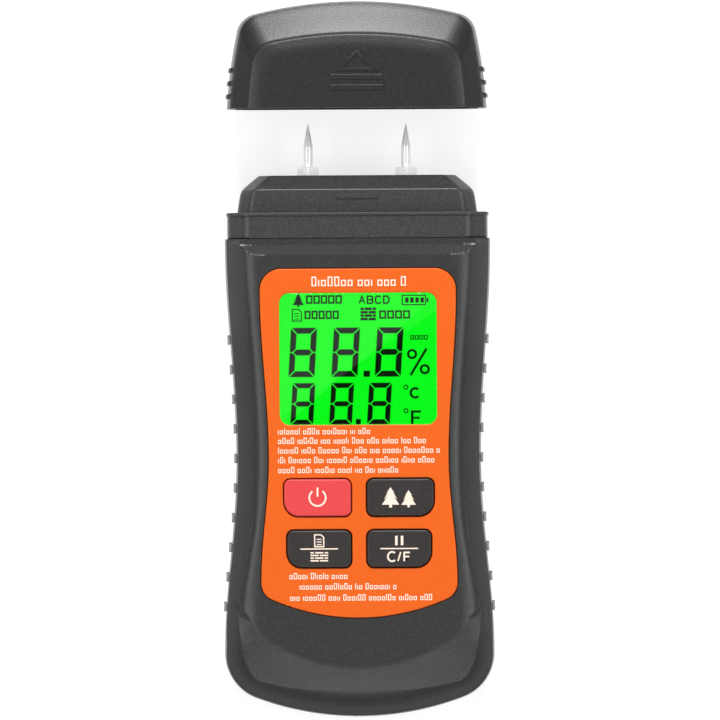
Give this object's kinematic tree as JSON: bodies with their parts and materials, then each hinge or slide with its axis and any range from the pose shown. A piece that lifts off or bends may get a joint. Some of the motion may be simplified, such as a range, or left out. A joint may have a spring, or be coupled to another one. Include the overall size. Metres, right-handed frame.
{
  "type": "pin-type moisture meter",
  "caption": "Hand-held pin-type moisture meter with a lit display, keys, steel probe pins, a pull-off cap and a sliding battery door.",
  "frame": {"origin": "middle of the footprint of the meter and its pulled-off cap, on the surface they lie on", "axes": "+Z out of the display, +Y from the round end towards the pins, +X to the right when the display is read"},
  "size_m": [0.0664, 0.1752, 0.0282],
  "materials": {
    "charcoal_plastic": "fine spark-eroded texture",
    "orange_plastic": "satin",
    "clear_window": "glossy",
    "black_tape": "matte",
    "lit_display": "glossy, lit green",
    "light_guide": "glossy",
    "white_plastic": "satin",
    "zebra_rubber": "matte",
    "led": "glossy",
    "board": "solder mask",
    "chip": "matte",
    "bead": "glossy",
    "head_plastic": "fine spark-eroded texture",
    "pin_steel": "polished",
    "nut_steel": "polished",
    "brass": "turned",
    "wire": "satin",
    "cell_sleeve": "glossy",
    "spring_steel": "nickel plated",
    "screw_steel": "zinc plated",
    "red_key": "satin",
    "dark_key": "satin",
    "dome_rubber": "matte",
    "cap_plastic": "fine spark-eroded texture",
    "door_plastic": "fine spark-eroded texture"
  },
  "bodies": {
    "case": {"front_shell": "charcoal_plastic", "rear_shell": "charcoal_plastic", "face_plate": "orange_plastic", "display_lens": "clear_window", "lens_tape": "black_tape", "lcd_glass": "lit_display", "light_guide": "light_guide", "lcd_frame": "white_plastic", "zebra_strip": "zebra_rubber", "backlight_leds": "led", "main_board": "board", "board_chips": "chip", "thermistor": "bead", "probe_head": "head_plastic", "left_pin": "pin_steel", "right_pin": "pin_steel", "left_pin_nut": "nut_steel", "right_pin_nut": "nut_steel", "left_socket": "brass", "right_socket": "brass", "probe_leads": "wire", "battery_leads": "wire", "left_cell": "cell_sleeve", "middle_cell": "cell_sleeve", "right_cell": "cell_sleeve", "battery_springs": "spring_steel", "battery_plates": "spring_steel", "case_screws": "screw_steel", "board_screws": "screw_steel", "power_dome": "dome_rubber", "wood_dome": "dome_rubber", "paper_wall_dome": "dome_rubber", "hold_dome": "dome_rubber"},
    "cap": {"cap": "cap_plastic"},
    "battery_door": {"battery_door": "door_plastic"},
    "power_key": {"power_key": "red_key"},
    "wood_key": {"wood_key": "dark_key"},
    "paper_wall_key": {"paper_wall_key": "dark_key"},
    "hold_key": {"hold_key": "dark_key"}
  },
  "joints": [
    {"name": "cap_slide", "type": "slide", "parent": "case", "child": "cap", "axis": [0, 1, 0], "range_m": [-0.0254, 0.015]},
    {"name": "battery_door_slide", "type": "slide", "parent": "case", "child": "battery_door", "axis": [0, -1, 0], "range_m": [0, 0.045]},
    {"name": "power_press", "type": "slide", "parent": "case", "child": "power_key", "axis": [0, 0, -1], "range_m": [0, 0.001], "stiffness_N_per_m": 1200, "deforming": ["power_dome"]},
    {"name": "wood_press", "type": "slide", "parent": "case", "child": "wood_key", "axis": [0, 0, -1], "range_m": [0, 0.001], "stiffness_N_per_m": 1200, "deforming": ["wood_dome"]},
    {"name": "paper_wall_press", "type": "slide", "parent": "case", "child": "paper_wall_key", "axis": [0, 0, -1], "range_m": [0, 0.001], "stiffness_N_per_m": 1200, "deforming": ["paper_wall_dome"]},
    {"name": "hold_press", "type": "slide", "parent": "case", "child": "hold_key", "axis": [0, 0, -1], "range_m": [0, 0.001], "stiffness_N_per_m": 1200, "deforming": ["hold_dome"]}
  ]
}
